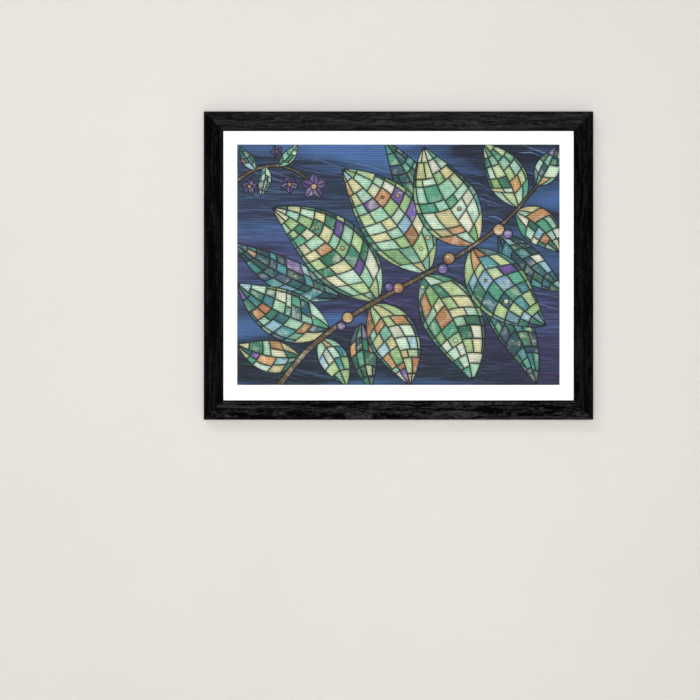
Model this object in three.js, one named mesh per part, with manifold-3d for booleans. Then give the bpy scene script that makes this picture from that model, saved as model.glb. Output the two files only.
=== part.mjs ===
// A framed picture for a wall. A black-stained wooden moulding, mitred at its corners, holds a stack of glass,
// window mat, printed sheet, foam board and backing panel in its rabbet. Turn buttons keep the panel in,
// two D-rings on strap plates carry the picture, and two pads keep its foot off the wall.
// Millimetres. +Z is up, the picture faces -Y, and the origin is on the wall's plane behind the middle of
// the frame. Left and right are as seen from the front.
import * as THREE from "three";
import { mergeVertices } from "three/addons/utils/BufferGeometryUtils.js";
import Module from "manifold-3d";

const wasm = await Module();
wasm.setup();

// ---- Driving dimensions ----

const FRAME_WIDTH = 735;
const FRAME_HEIGHT = 582;
const RAIL_FACE = 36.5; // moulding width, outer edge to sight edge
const RAIL_DEPTH = 22;
const RABBET_WIDTH = 7; // how far the lip covers the stack
const OUTER_ROUND = 2.2; // radius of the front outer arris
const SIGHT_ROUND = 1.2; // radius of the front inner arris
const ROUND_STEPS = 4; // straight steps in each rounded arris

const REAR_GAP = 5; // wall to the back of the moulding
const GAP = 0.3; // free space between pieces that touch
const MITRE_GAP = 0.3; // between two rails, square to the joint

const STACK_PLAY = 1.5; // sheet edge to rabbet side
const GLASS_THICK = 2;
const MAT_THICK = 1.5;
const PRINT_THICK = 0.6;
const FOAM_THICK = 5;
const PANEL_THICK = 3;

const WINDOW_WIDTH = 610; // what the mat leaves open, at its back edge
const WINDOW_HEIGHT = 455;
const WINDOW_RAISE = 2; // the mat is heavier at its foot, so the window sits above the middle
const PRINT_LAP = 14; // how far the printed sheet runs behind the mat

const SCREW_RADIUS = 1.1;
const SCREW_LENGTH = 10;
const SCREW_HEAD_RADIUS = 3;
const SCREW_HEAD_HEIGHT = 1.6;
const CROSS_LENGTH = 3.4; // the driver's cross in the screw head
const CROSS_WIDTH = 0.7;
const CROSS_DEPTH = 0.9;
const PILOT_RADIUS = 1.4;
const PILOT_DEPTH = 10.5;
const SCREW_SIDES = 16;

const BUTTON_RADIUS = 5.5; // both round ends
const BUTTON_REACH = 15; // pivot to the middle of the far end
const BUTTON_THICK = 1.2;
const BUTTON_HOLE = 1.5;
const BUTTON_INSET = 16.5; // outer edge of the frame to the pivot
const BUTTON_SPREAD_LONG = 200; // pivots either side of the middle of the top and bottom rails
const BUTTON_SPREAD_SHORT = 90; // and of the side rails

const HANGER_HEIGHT = 165; // hinge above the middle of the frame
const HANGER_INSET = 15; // outer edge of the frame to the middle of the strap
const STRAP_WIDTH = 10;
const STRAP_LENGTH = 24; // hinge to the strap's round foot
const STRAP_THICK = 0.9;
const STRAP_SCREW_DROP = 19; // hinge to the screw
const BARREL_HOLE = 1.3;
const RING_WIRE = 1; // wire radius
const RING_HALF_WIDTH = 8; // to the wire's middle
const RING_LEG = 3; // straight part of each leg
const RING_CORNER = 1.8;

const PAD_RADIUS = 6.5;
const PAD_ROUND = 1.2;
const PAD_INSET = 45; // outer edge of the frame to the pad's middle, along the bottom rail

// ---- Worked out from them ----

const RABBET_DEPTH = GLASS_THICK + MAT_THICK + PRINT_THICK + FOAM_THICK + PANEL_THICK + 5 * GAP;
const SHEET_WIDTH = FRAME_WIDTH - 2 * (RAIL_FACE - RABBET_WIDTH + STACK_PLAY);
const SHEET_HEIGHT = FRAME_HEIGHT - 2 * (RAIL_FACE - RABBET_WIDTH + STACK_PLAY);
const FRONT_Y = -(REAR_GAP + RAIL_DEPTH);
const HARDWARE_Y = -(REAR_GAP - GAP); // front of everything that lies on the back of the rails
const BARREL_RADIUS = BARREL_HOLE + STRAP_THICK;
const HINGE_Y = HARDWARE_Y + BARREL_RADIUS;

// ---- Finishes ----

const finish = (color, roughness, metalness = 0, more = {}) =>
  new THREE.MeshStandardMaterial({ color, roughness, metalness, ...more });

const BLACK_WOOD = finish(0x1c1b1a, 0.6);
const CLEAR_GLASS = finish(0xf2f7f5, 0.03, 0, { transparent: true, opacity: 0.12 });
const MAT_WHITE = finish(0xfafaf8, 0.9);
const PRINT_PAPER = finish(0x2b4a63, 0.7);
const FOAM_WHITE = finish(0xefeee9, 0.85);
const PANEL_BROWN = finish(0x8a6a48, 0.8);
const ZINC = finish(0xb9bcbf, 0.35, 1);
const STEEL = finish(0x9a9ca0, 0.3, 1);
const PAD_RUBBER = finish(0x2a2a2b, 0.9);

// ---- Solids from geometry and back ----

function solid(geometry) {
  const bare = geometry.clone();
  bare.deleteAttribute("normal");
  bare.deleteAttribute("uv");
  const merged = mergeVertices(bare, 1e-4);
  return new wasm.Manifold(
    new wasm.Mesh({
      numProp: 3,
      vertProperties: new Float32Array(merged.attributes.position.array),
      triVerts: new Uint32Array(merged.index.array),
    }),
  );
}

function geometryOf(manifold) {
  const mesh = manifold.getMesh();
  const geometry = new THREE.BufferGeometry();
  geometry.setAttribute("position", new THREE.BufferAttribute(mesh.vertProperties, 3));
  geometry.setIndex(new THREE.BufferAttribute(mesh.triVerts, 1));
  geometry.computeVertexNormals();
  return geometry;
}

const cut = (geometry, ...tools) =>
  geometryOf(tools.reduce((left, tool) => left.subtract(solid(tool)), solid(geometry)));

function named(name, geometry, material) {
  const mesh = new THREE.Mesh(geometry, material);
  mesh.name = name;
  return mesh;
}

// A round hole's cutter along Y, from a depth to just past the back of the rails.
function drill(x, z, radius, depth) {
  const past = 1;
  return new THREE.CylinderGeometry(radius, radius, depth + past, SCREW_SIDES).translate(
    x,
    -REAR_GAP - (depth - past) / 2,
    z,
  );
}

// ---- Moulding ----

// The section, with u from the frame's outer edge inwards and v from its back to its face.
function railSection() {
  const section = new THREE.Shape();
  section.moveTo(0, 0);
  section.lineTo(RAIL_FACE - RABBET_WIDTH, 0);
  section.lineTo(RAIL_FACE - RABBET_WIDTH, RABBET_DEPTH);
  section.lineTo(RAIL_FACE, RABBET_DEPTH);
  section.lineTo(RAIL_FACE, RAIL_DEPTH - SIGHT_ROUND);
  section.absarc(RAIL_FACE - SIGHT_ROUND, RAIL_DEPTH - SIGHT_ROUND, SIGHT_ROUND, 0, Math.PI / 2);
  section.lineTo(OUTER_ROUND, RAIL_DEPTH);
  section.absarc(OUTER_ROUND, RAIL_DEPTH - OUTER_ROUND, OUTER_ROUND, Math.PI / 2, Math.PI);
  return section;
}

// A length of moulding along X with its outer edge on Z 0 and its ends mitred. Screw holes are [x, u] pairs.
function railGeometry(length, holes) {
  const straight = new THREE.ExtrudeGeometry(railSection(), {
    depth: 1,
    bevelEnabled: false,
    curveSegments: ROUND_STEPS,
  });
  const place = straight.attributes.position;
  const back = MITRE_GAP * Math.SQRT1_2;
  for (let i = 0; i < place.count; i++) {
    const u = place.getX(i);
    const v = place.getY(i);
    const end = place.getZ(i) > 0.5 ? 1 : -1;
    place.setXYZ(i, end * (length / 2 - u - back), -REAR_GAP - v, u);
  }
  return cut(straight, ...holes.map(([x, u]) => drill(x, u, PILOT_RADIUS, PILOT_DEPTH)));
}

// ---- The stack behind the lip ----

const panelOf = (width, thick, height, frontY) =>
  new THREE.BoxGeometry(width, thick, height).translate(0, frontY + thick / 2, 0);

// The mat's window has sloping sides: it is wider at the face by the board's thickness.
function matGeometry(frontY) {
  const past = 1;
  const opening = new THREE.BoxGeometry(1, 1, 1);
  const place = opening.attributes.position;
  for (let i = 0; i < place.count; i++) {
    const atFace = place.getY(i) < 0;
    const grow = atFace ? MAT_THICK + past : -past;
    place.setXYZ(
      i,
      Math.sign(place.getX(i)) * (WINDOW_WIDTH / 2 + grow),
      atFace ? frontY - past : frontY + MAT_THICK + past,
      Math.sign(place.getZ(i)) * (WINDOW_HEIGHT / 2 + grow) + WINDOW_RAISE,
    );
  }
  return cut(panelOf(SHEET_WIDTH, MAT_THICK, SHEET_HEIGHT, frontY), opening);
}

function stack() {
  const group = new THREE.Group();
  let frontY = -REAR_GAP - RABBET_DEPTH + GAP;
  const layer = (name, geometry, thick, material) => {
    group.add(named(name, geometry, material));
    frontY += thick + GAP;
  };
  layer("glazing", panelOf(SHEET_WIDTH, GLASS_THICK, SHEET_HEIGHT, frontY), GLASS_THICK, CLEAR_GLASS);
  layer("window_mat", matGeometry(frontY), MAT_THICK, MAT_WHITE);
  const print = panelOf(
    WINDOW_WIDTH + 2 * PRINT_LAP,
    PRINT_THICK,
    WINDOW_HEIGHT + 2 * PRINT_LAP,
    frontY,
  ).translate(0, 0, WINDOW_RAISE);
  layer("art_print", print, PRINT_THICK, PRINT_PAPER);
  layer("foam_board", panelOf(SHEET_WIDTH, FOAM_THICK, SHEET_HEIGHT, frontY), FOAM_THICK, FOAM_WHITE);
  layer("backing_panel", panelOf(SHEET_WIDTH, PANEL_THICK, SHEET_HEIGHT, frontY), PANEL_THICK, PANEL_BROWN);
  return group;
}

// ---- Screws, turn buttons, hangers and pads. Each stands on the plane Y 0 and faces +Y ----

// A pan-head wood screw. seat is the thickness that it clamps.
function screwGeometry(seat) {
  const profile = [
    [0, seat - SCREW_LENGTH],
    [SCREW_RADIUS * 0.35, seat - SCREW_LENGTH],
    [SCREW_RADIUS, seat - SCREW_LENGTH + 2.5],
    [SCREW_RADIUS, seat + GAP],
    [SCREW_HEAD_RADIUS, seat + GAP],
    [SCREW_HEAD_RADIUS, seat + GAP + SCREW_HEAD_HEIGHT * 0.35],
    [SCREW_HEAD_RADIUS * 0.72, seat + GAP + SCREW_HEAD_HEIGHT * 0.85],
    [0, seat + GAP + SCREW_HEAD_HEIGHT],
  ].map(([r, y]) => new THREE.Vector2(r, y));
  const top = seat + GAP + SCREW_HEAD_HEIGHT;
  const slot = (width, length) =>
    new THREE.BoxGeometry(width, 2 * CROSS_DEPTH, length).translate(0, top, 0);
  return cut(
    new THREE.LatheGeometry(profile, SCREW_SIDES),
    slot(CROSS_WIDTH, CROSS_LENGTH),
    slot(CROSS_LENGTH, CROSS_WIDTH),
  );
}

// A flat shape in X and Z made into a plate that stands on Y 0.
function plateGeometry(shape, thick, segments) {
  const plate = new THREE.ExtrudeGeometry(shape, {
    depth: thick,
    bevelEnabled: false,
    curveSegments: segments,
  });
  return plate.rotateX(Math.PI / 2).translate(0, thick, 0);
}

// A turn button with its pivot at the origin, pointing along +Z.
function buttonGeometry() {
  const shape = new THREE.Shape();
  shape.absarc(0, 0, BUTTON_RADIUS, 0, -Math.PI, true);
  shape.absarc(0, BUTTON_REACH, BUTTON_RADIUS, Math.PI, 0, true);
  shape.holes.push(new THREE.Path().absarc(0, 0, BUTTON_HOLE, 0, 2 * Math.PI));
  return plateGeometry(shape, BUTTON_THICK, 8).rotateZ(Math.PI).translate(0, BUTTON_THICK, 0);
}

// A strap bent round into a barrel at its head. The hinge is on X, at the height of the barrel's middle.
function strapGeometry() {
  const meet = Math.sqrt(BARREL_RADIUS ** 2 - (BARREL_RADIUS - STRAP_THICK) ** 2);
  const bend = new THREE.Shape();
  bend.moveTo(0, -STRAP_LENGTH);
  bend.lineTo(STRAP_THICK, -STRAP_LENGTH);
  bend.lineTo(STRAP_THICK, -meet);
  const start = Math.atan2(-meet, STRAP_THICK - BARREL_RADIUS);
  bend.absarc(BARREL_RADIUS, 0, BARREL_RADIUS, start, Math.PI);
  bend.holes.push(new THREE.Path().absarc(BARREL_RADIUS, 0, BARREL_HOLE, 0, 2 * Math.PI));
  const strap = new THREE.ExtrudeGeometry(bend, {
    depth: STRAP_WIDTH,
    bevelEnabled: false,
    curveSegments: 10,
  });
  // (section x, section y, run) go to (Y, Z, X)
  const place = strap.attributes.position;
  for (let i = 0; i < place.count; i++) {
    place.setXYZ(i, place.getZ(i) - STRAP_WIDTH / 2, place.getX(i), place.getY(i));
  }
  const foot = new THREE.Shape();
  const half = STRAP_WIDTH / 2;
  foot.moveTo(half, BARREL_RADIUS + 1);
  foot.lineTo(-half, BARREL_RADIUS + 1);
  foot.absarc(0, half - STRAP_LENGTH, half, Math.PI, 2 * Math.PI);
  const outline = plateGeometry(foot, 4 * BARREL_RADIUS, 8).rotateZ(Math.PI).translate(0, 3 * BARREL_RADIUS, 0);
  const hole = new THREE.CylinderGeometry(BUTTON_HOLE, BUTTON_HOLE, 4, SCREW_SIDES).translate(
    0,
    0,
    -STRAP_SCREW_DROP,
  );
  return geometryOf(solid(strap).intersect(solid(outline)).subtract(solid(hole)));
}

// The D-ring's middle line in X and Z: a bar on the hinge, two short legs and a half circle.
function ringLine() {
  const line = [];
  const arc = (cx, cz, radius, from, to, steps) => {
    for (let i = 0; i <= steps; i++) {
      const angle = from + ((to - from) * i) / steps;
      line.push([cx + radius * Math.cos(angle), cz + radius * Math.sin(angle)]);
    }
  };
  const side = RING_HALF_WIDTH - RING_CORNER;
  arc(side, RING_CORNER, RING_CORNER, -Math.PI / 2, 0, 3);
  arc(0, RING_LEG, RING_HALF_WIDTH, 0, Math.PI, 16);
  arc(-side, RING_CORNER, RING_CORNER, Math.PI, 1.5 * Math.PI, 3);
  return line;
}

// A round wire bent into a closed flat loop in X and Z.
function wireLoop(line, radius, sides) {
  const positions = [];
  const index = [];
  line.forEach(([x, z], i) => {
    const before = line[(i + line.length - 1) % line.length];
    const after = line[(i + 1) % line.length];
    const run = new THREE.Vector2(after[0] - before[0], after[1] - before[1]).normalize();
    for (let k = 0; k < sides; k++) {
      const angle = (2 * Math.PI * k) / sides;
      const out = radius * Math.cos(angle);
      positions.push(x + run.y * out, radius * Math.sin(angle), z - run.x * out);
      const here = i * sides + k;
      const turn = i * sides + ((k + 1) % sides);
      const next = ((i + 1) % line.length) * sides;
      index.push(here, turn, next + k);
      index.push(turn, next + ((k + 1) % sides), next + k);
    }
  });
  const loop = new THREE.BufferGeometry();
  loop.setAttribute("position", new THREE.Float32BufferAttribute(positions, 3));
  loop.setIndex(index);
  loop.computeVertexNormals();
  return loop;
}

function padGeometry() {
  const thick = REAR_GAP - GAP;
  const profile = [
    [0, 0],
    [PAD_RADIUS, 0],
    [PAD_RADIUS, thick - PAD_ROUND],
    [PAD_RADIUS - PAD_ROUND * 0.3, thick - PAD_ROUND * 0.3],
    [PAD_RADIUS - PAD_ROUND, thick],
    [0, thick],
  ].map(([r, y]) => new THREE.Vector2(r, y));
  return new THREE.LatheGeometry(profile, 24);
}

// ---- Assembly ----

const picture = new THREE.Group();

// Each rail is laid out along X and turned about Y to its side. A button's mark is its name and its place along
// the rail, and a hanger's screw is bored where the strap will lie.
const hangerScrew = HANGER_HEIGHT - STRAP_SCREW_DROP;
const RAILS = [
  {
    side: "top",
    length: FRAME_WIDTH,
    turn: Math.PI,
    at: [0, 0, FRAME_HEIGHT / 2],
    buttons: { left: BUTTON_SPREAD_LONG, right: -BUTTON_SPREAD_LONG },
    strapHoles: [],
  },
  {
    side: "bottom",
    length: FRAME_WIDTH,
    turn: 0,
    at: [0, 0, -FRAME_HEIGHT / 2],
    buttons: { left: -BUTTON_SPREAD_LONG, right: BUTTON_SPREAD_LONG },
    strapHoles: [],
  },
  {
    side: "left",
    length: FRAME_HEIGHT,
    turn: Math.PI / 2,
    at: [-FRAME_WIDTH / 2, 0, 0],
    buttons: { upper: -BUTTON_SPREAD_SHORT, lower: BUTTON_SPREAD_SHORT },
    strapHoles: [[-hangerScrew, HANGER_INSET]],
  },
  {
    side: "right",
    length: FRAME_HEIGHT,
    turn: -Math.PI / 2,
    at: [FRAME_WIDTH / 2, 0, 0],
    buttons: { upper: BUTTON_SPREAD_SHORT, lower: -BUTTON_SPREAD_SHORT },
    strapHoles: [[hangerScrew, HANGER_INSET]],
  },
];

for (const { side, length, turn, at, buttons, strapHoles } of RAILS) {
  const rail = new THREE.Group();
  rail.position.set(...at);
  rail.rotation.y = turn;
  const buttonHoles = Object.values(buttons).map((x) => [x, BUTTON_INSET]);
  rail.add(named(`rail_${side}`, railGeometry(length, [...buttonHoles, ...strapHoles]), BLACK_WOOD));
  for (const [mark, x] of Object.entries(buttons)) {
    const place = new THREE.Group();
    place.position.set(x, HARDWARE_Y, BUTTON_INSET);
    place.add(named(`turn_button_${side}_${mark}`, buttonGeometry(), ZINC));
    place.add(named(`button_screw_${side}_${mark}`, screwGeometry(BUTTON_THICK), STEEL));
    rail.add(place);
  }
  picture.add(rail);
}

picture.add(stack());

for (const [side, sign] of [
  ["left", -1],
  ["right", 1],
]) {
  const hanger = new THREE.Group();
  hanger.position.set(sign * (FRAME_WIDTH / 2 - HANGER_INSET), HARDWARE_Y, HANGER_HEIGHT);
  hanger.add(named(`hanger_strap_${side}`, strapGeometry(), ZINC));
  const screw = named(`hanger_screw_${side}`, screwGeometry(STRAP_THICK), STEEL);
  screw.position.z = -STRAP_SCREW_DROP;
  hanger.add(screw);
  const ring = named(`d_ring_${side}`, wireLoop(ringLine(), RING_WIRE, 8), STEEL);
  ring.position.y = HINGE_Y - HARDWARE_Y;
  hanger.add(ring);
  picture.add(hanger);

  const pad = named(`wall_pad_${side}`, padGeometry(), PAD_RUBBER);
  pad.position.set(
    sign * (FRAME_WIDTH / 2 - PAD_INSET),
    HARDWARE_Y,
    -FRAME_HEIGHT / 2 + (RAIL_FACE - RABBET_WIDTH) / 2,
  );
  picture.add(pad);
}

export default picture;
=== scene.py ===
"""Dresses the framed picture: stained moulding, glass, mat, printed sheet, back panel and fittings."""

import math
import random
from contextlib import contextmanager
from functools import wraps

import bmesh
import bpy
import numpy as np
from mathutils import Matrix, Vector
from mathutils.geometry import delaunay_2d_cdt


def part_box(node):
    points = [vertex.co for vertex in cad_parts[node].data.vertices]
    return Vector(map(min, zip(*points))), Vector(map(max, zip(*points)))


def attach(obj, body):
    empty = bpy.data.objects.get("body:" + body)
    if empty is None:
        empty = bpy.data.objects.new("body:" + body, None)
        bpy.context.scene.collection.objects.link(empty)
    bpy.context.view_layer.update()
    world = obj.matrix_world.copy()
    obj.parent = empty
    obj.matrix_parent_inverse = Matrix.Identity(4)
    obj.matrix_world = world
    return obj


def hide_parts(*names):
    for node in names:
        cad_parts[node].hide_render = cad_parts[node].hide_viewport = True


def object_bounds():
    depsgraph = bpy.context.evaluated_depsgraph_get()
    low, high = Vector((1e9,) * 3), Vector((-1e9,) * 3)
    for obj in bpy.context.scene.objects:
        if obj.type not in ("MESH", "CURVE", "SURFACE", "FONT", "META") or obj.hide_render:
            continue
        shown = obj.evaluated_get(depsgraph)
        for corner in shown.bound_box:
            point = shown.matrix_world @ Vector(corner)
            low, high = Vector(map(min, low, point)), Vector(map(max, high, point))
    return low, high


bl_info = {
    "name": "Framed Picture",
    "version": (1, 0, 0),
    "blender": (4, 5, 0),
    "location": "View3D > Sidebar > Picture",
    "description": "Builds the looks of a framed picture round its construction model",
    "category": "Object",
}

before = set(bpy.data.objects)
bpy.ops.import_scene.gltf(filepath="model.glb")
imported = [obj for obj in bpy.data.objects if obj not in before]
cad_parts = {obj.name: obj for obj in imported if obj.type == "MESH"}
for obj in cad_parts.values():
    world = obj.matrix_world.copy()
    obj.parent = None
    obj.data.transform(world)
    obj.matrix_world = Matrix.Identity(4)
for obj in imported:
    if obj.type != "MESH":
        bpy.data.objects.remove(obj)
CAD_LOW, CAD_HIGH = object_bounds()

MM = 0.001
LEVEL = ("top", "bottom")
HANDS = ("left", "right")
SIDES = LEVEL + HANDS


def linear(code):
    """A six-digit hex colour as linear red, green and blue."""
    shares = [int(code[i : i + 2], 16) / 255 for i in (0, 2, 4)]
    return tuple(s / 12.92 if s <= 0.04045 else ((s + 0.055) / 1.055) ** 2.4 for s in shares)


def scaled(rgb, factor):
    """A colour made darker or lighter."""
    return tuple(min(1, factor * part) for part in rgb)


# ---- Settings ----


def colour(name, description, code):
    """A colour with a hex default."""
    return bpy.props.FloatVectorProperty(
        name=name, description=description, default=linear(code), subtype="COLOR", size=3, min=0, max=1
    )


def amount(name, description, value, **more):
    """A number of 0 or more."""
    return bpy.props.FloatProperty(name=name, description=description, default=value, **{"min": 0, **more})


def length(name, description, metres, **more):
    """A size in metres."""
    return amount(name, description, metres, unit="LENGTH", precision=4, **more)


def share(name, description, value):
    """A number from 0 to 1."""
    return amount(name, description, value, subtype="FACTOR", max=1)


def count(name, description, value):
    """A whole number of 0 or more."""
    return bpy.props.IntProperty(name=name, description=description, default=value, min=0)


class PictureMoulding(bpy.types.PropertyGroup):
    """The black-stained wood."""

    # The stain's colour fills the pores and also paints the shade along the front's outer and inner edges.
    stain: colour("Stain", "Colour of the stain where it lies thick", "010101")
    # Painted light: the four tones make lit and shaded copies of one stain, the level rails lighter and the
    # upright rails darker, the top lightest and the left darkest, as the light from above falls on their
    # grain.
    top_tone: share("Top tone", "How light the grain of the top rail shows", 0.0088)
    bottom_tone: share("Bottom tone", "How light the grain of the bottom rail shows", 0.0066)
    left_tone: share("Left tone", "How light the grain of the left rail shows", 0.0008)
    right_tone: share("Right tone", "How light the grain of the right rail shows", 0.0012)
    raw_wood: colour("Bare wood", "Colour of the unstained back", "c6aa82")
    arris: length("Arris", "Width of the softened edges", 0.35 * MM)
    close_mitre: length("Mitre fit", "How far the rails' corners move out to close the mitres", 0.148 * MM)
    left_corner: length("Left corners", "How much of the two left corners is sanded off", 0.4 * MM)
    right_corner: length("Right corners", "How much of the two right corners is sanded off", 1.1 * MM)


class PictureMat(bpy.types.PropertyGroup):
    """The window mat and the boards behind it."""

    face: colour("Mat", "Colour of the mat's face", "fcfcfb")
    foam: colour("Foam board", "Colour of the foam board", "efeee9")
    panel: colour("Panel", "Colour of the back panel", "8a6544")
    panel_dark: colour("Panel fibres", "Colour of the panel's dark fibres", "5b3f28")


class PicturePrint(bpy.types.PropertyGroup):
    """The printed picture."""

    bleed: length("Bleed", "How far the picture runs on behind the mat", 6 * MM)
    lead: length("Lead width", "Width of the dark lines between panes", 2.3 * MM)
    pane: length("Pane length", "Length of a pane along its leaf", 25 * MM)
    line_pitch: length("Line pitch", "Distance between the fine lines of the print", 4.178 * MM)
    line_depth: share("Line depth", "How much darker the fine lines are", 0.43)
    lead_ink: colour("Lead", "Colour of the lines between panes", "0c0e14")
    strength: share("Colour strength", "How strong the inks' colours are", 0.84)
    dusk_tone: share("Dusk tone", "How light the inks of the dusk print", 0.68)
    glass_tone: share("Glass tone", "How light the inks of the panes print", 0.95)
    # Painted glare: a grey haze laid over every ink, standing in for light reflected off the print's face.
    veil: share("Veil", "How far the coating's own grey lies over the inks", 0.08)
    veil_tone: colour("Veil tone", "Colour of the coating's grey", "6e737e")
    strokes: count("Strokes", "Number of long brush strokes", 120)
    seed: count("Seed", "Choice of pane colours", 11)


class PictureFittings(bpy.types.PropertyGroup):
    """Zinc, steel and rubber on the back."""

    zinc: colour("Zinc", "Colour of the zinc plating", "c3c6c8")
    steel: colour("Steel", "Colour of the screws and rings", "b4b6ba")
    rubber: colour("Rubber", "Colour of the wall pads", "1c1c1d")
    edge: length("Edge", "Radius of the plates' edges", 0.2 * MM)
    pivot_hole: length("Hole", "Radius of the holes in the plates", 1.5 * MM)
    strap_thick: length("Strap", "Thickness of the hangers' strap", 0.9 * MM)
    ring_corner: length("Ring corner", "Radius of the two tight bends of the D-ring", 1.8 * MM)
    head_height: length("Screw head", "Height of the screws' heads", 1.6 * MM)
    shank: length("Shank", "Radius of the screws' shanks", 1.1 * MM)


class PictureStudio(bpy.types.PropertyGroup):
    """Wall, floor, lamps and camera."""

    wall: colour("Wall", "Colour of the wall", "c6c4bf")
    floor: colour("Floor", "Colour of the floor", "d9d7d2")
    drop: length("Floor drop", "Height of the picture's middle above the floor", 1.45)
    ambient: amount("Ambient", "Strength of the light from all round", 0.26)
    front: amount("Front", "Power of the lamp round the camera, which shows in no gloss", 125)
    ring: amount("Ring", "Power of the strips round the camera, which gloss may show", 24)
    strip: length("Strip", "Width of each strip of the ring", 0.4)
    key: amount("Key", "Power of the lamp at the upper left", 42)
    behind: amount("Behind", "Power of the lamp behind", 90)
    distance: length("Camera distance", "From the front of the frame to the camera", 4.0)
    field: length("Field", "Width of the view on the front of the frame", 1.3203)
    aim_x: length("Aim X", "Middle of the view, to the right of the picture's middle", -0.0916, min=-1)
    aim_z: length("Aim Z", "Middle of the view, above the picture's middle", -0.1593, min=-1)


GROUPS = {
    "picture_moulding": PictureMoulding,
    "picture_mat": PictureMat,
    "picture_print": PicturePrint,
    "picture_fittings": PictureFittings,
    "picture_studio": PictureStudio,
}


# ---- Node trees ----


def look(fill):
    """Turns a function that fills a node tree and gives its shader into one that gives a material.

    The material has the function's name, or the one it is called with, and is made only once.
    """

    @wraps(fill)
    def material(*inputs, name=fill.__name__):
        made = bpy.data.materials.get(name)
        if made is None:
            made = bpy.data.materials.new(name)
            made.use_nodes = True
            tree = made.node_tree
            tree.nodes.clear()
            end = tree.nodes.new("ShaderNodeOutputMaterial")
            tree.links.new(fill(tree, *inputs), end.inputs["Surface"])
        return made

    return material


def put(tree, kind, inputs=None, out=0, **settings):
    """Adds a shader node and gives one of its outputs. Inputs are values or other nodes' outputs."""
    node = tree.nodes.new("ShaderNode" + kind)
    for key, value in settings.items():
        setattr(node, key, value)
    for key, value in (inputs or {}).items():
        if isinstance(value, bpy.types.NodeSocket):
            tree.links.new(value, node.inputs[key])
        else:
            node.inputs[key].default_value = value
    return node.outputs[out]


def calc(tree, operation, first, second=0.0):
    """The result of one step of arithmetic."""
    return put(tree, "Math", {0: first, 1: second}, operation=operation)


def summed(tree, *values):
    """All the values added up."""
    total = values[0]
    for value in values[1:]:
        total = calc(tree, "ADD", total, value)
    return total


def swing(tree, value, reach):
    """A value from 0 to 1 turned to one from -reach to reach."""
    return calc(tree, "MULTIPLY", calc(tree, "SUBTRACT", value, 0.5), 2 * reach)


def rescale(tree, value, low, high, to_low=0.0, to_high=1.0):
    """A value moved from one range to another, and held there."""
    inputs = {"Value": value, "From Min": low, "From Max": high, "To Min": to_low, "To Max": to_high}
    return put(tree, "MapRange", inputs, "Result")


def mix(tree, factor, first, second, mode="MIX"):
    """Two colours mixed. The node has other sockets for values and vectors, so its colours go by number."""
    first, second = (c if isinstance(c, bpy.types.NodeSocket) else (*c, 1) for c in (first, second))
    return put(tree, "Mix", {0: factor, 6: first, 7: second}, 2, data_type="RGBA", blend_type=mode)


def tinted(tree, rgb, tint):
    """One colour multiplied by another."""
    return mix(tree, 1.0, rgb, tint, "MULTIPLY")


def laid(tree, base, over, value, start, full, most=1.0):
    """A colour laid over another: not at all where a value is at its start, and most where it is full."""
    return mix(tree, rescale(tree, value, start, full, 0, most), base, over)


def ramp(tree, factor, stops):
    """A colour ramp. stops are (position, colour) pairs."""
    shades = put(tree, "ValToRGB", {"Fac": factor})
    points = shades.node.color_ramp.elements
    for number, (position, rgb) in enumerate(stops):
        point = points[number] if number < len(points) else points.new(position)
        point.position = position
        point.color = (*rgb, 1)
    return shades


def own_place(tree):
    """A point's place on the object."""
    return put(tree, "TexCoord", out="Object")


def place(tree, scale=(1, 1, 1), turn=(0, 0, 0), move=(0, 0, 0)):
    """Object coordinates, turned, scaled and moved."""
    inputs = {"Vector": own_place(tree), "Location": move, "Rotation": turn, "Scale": scale}
    return put(tree, "Mapping", inputs)


def split(tree, vector):
    """The three parts of a vector."""
    return put(tree, "SeparateXYZ", {0: vector}).node.outputs


def joined(tree, x, y, z):
    """A vector of three parts."""
    return put(tree, "CombineXYZ", {0: x, 1: y, 2: z})


def noise(tree, scale, detail=3.0, rough=0.6, distortion=0.0, at=None):
    """A noise texture's value, on Object coordinates where no others are given."""
    at = place(tree) if at is None else at
    inputs = {"Vector": at, "Scale": scale, "Detail": detail, "Roughness": rough, "Distortion": distortion}
    return put(tree, "TexNoise", inputs, "Fac")


def surface(tree, base, rough, relief=None, metallic=0.0, gloss=0.5):
    """A surface. relief is a height from 0 to 1, the depth that it stands for, and its strength."""
    inputs = {"Base Color": base, "Roughness": rough, "Metallic": metallic, "Specular IOR Level": gloss}
    if relief:
        inputs["Normal"] = put(tree, "Bump", dict(zip(("Height", "Distance", "Strength"), relief)))
    return put(tree, "BsdfPrincipled", inputs)


# ---- Modelling ----


def only(piece):
    """Selects one object alone and makes it active."""
    bpy.ops.object.select_all(action="DESELECT")
    piece.select_set(True)
    bpy.context.view_layer.objects.active = piece


@contextmanager
def editing(piece):
    """Edit mode on one object, with nothing in it selected."""
    only(piece)
    bpy.ops.object.mode_set(mode="EDIT")
    bpy.ops.mesh.select_all(action="DESELECT")
    yield
    bpy.ops.object.mode_set(mode="OBJECT")


def pick(piece, kind, test):
    """In edit mode, selects the verts, edges or faces that pass a test, and no others."""
    bpy.ops.mesh.select_mode(type=kind[:-1].upper())
    bpy.ops.mesh.select_all(action="DESELECT")
    for item in getattr(bmesh.from_edit_mesh(piece.data), kind):
        if test(item):
            item.select_set(True)
    bmesh.update_edit_mesh(piece.data)


def tidied(piece):
    """Merges doubles and turns every face outwards."""
    with editing(piece):
        bpy.ops.mesh.select_all(action="SELECT")
        bpy.ops.mesh.remove_doubles(threshold=0.002 * MM)
        bpy.ops.mesh.normals_make_consistent(inside=False)
    return piece


def added(name, data):
    """A new object in the scene."""
    thing = bpy.data.objects.new(name, data)
    bpy.context.scene.collection.objects.link(thing)
    return thing


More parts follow.
